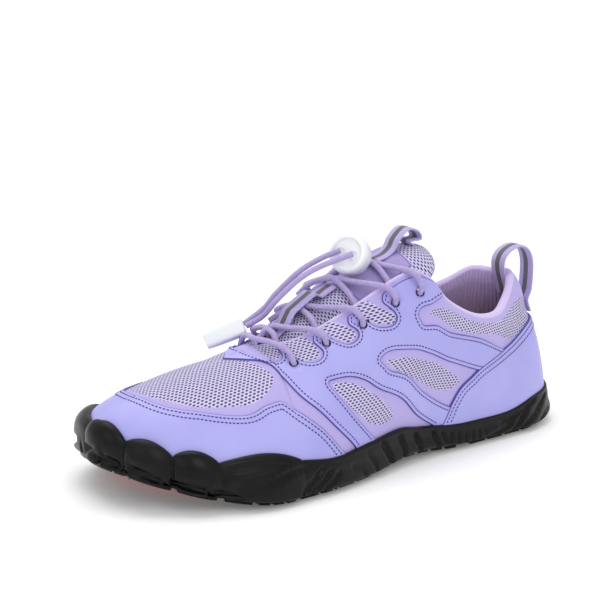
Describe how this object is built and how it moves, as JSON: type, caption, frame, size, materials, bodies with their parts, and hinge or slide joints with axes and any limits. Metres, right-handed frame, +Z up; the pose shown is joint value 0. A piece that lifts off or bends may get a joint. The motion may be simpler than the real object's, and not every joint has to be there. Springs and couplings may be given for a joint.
{
  "type": "barefoot shoe",
  "caption": "Low barefoot shoe with thin lugged rubber sole, wide toe box, mesh upper with smooth overlays, pull loops and a quick elastic cord lace",
  "frame": {"origin": "on the ground under the middle of the shoe's box, without the free lace ends and what is on them", "axes": "+X to the toe, +Y to the wearer's left, which is the outer side of this left shoe, +Z up"},
  "size_m": [0.2671, 0.1067, 0.1048],
  "materials": {
    "sole_rubber": "matt black moulded rubber",
    "inlay_rubber": "matt orange rubber",
    "insole_fabric": "lilac knit on thin foam",
    "upper_mesh": "lilac open mesh over a darker lining",
    "overlay_coating": "smooth satin lilac coated synthetic, stitched edges",
    "tongue_fabric": "lilac padded knit",
    "webbing": "woven lilac tape with a grey stripe",
    "lace_cord": "braided elastic cord, lilac",
    "lock_plastic": "white moulded plastic"
  },
  "bodies": {
    "root": {"outsole": "sole_rubber", "inlay_forefoot": "inlay_rubber", "inlay_arch": "inlay_rubber", "insole": "insole_fabric", "upper": "upper_mesh", "toe_guard": "overlay_coating", "quarter_lateral": "overlay_coating", "quarter_medial": "overlay_coating", "heel_counter": "overlay_coating", "tongue": "tongue_fabric", "tongue_webbing": "webbing", "tongue_pull_loop": "webbing", "heel_pull_loop": "webbing", "lace_bar": "lace_cord", "lace_crossing_1": "lace_cord", "lace_crossing_2": "lace_cord", "lace_crossing_3": "lace_cord", "lace_crossing_4": "lace_cord", "lace_end_lateral": "lace_cord", "lace_end_medial": "lace_cord", "cord_lock": "lock_plastic", "lace_clip": "lock_plastic"}
  },
  "joints": []
}
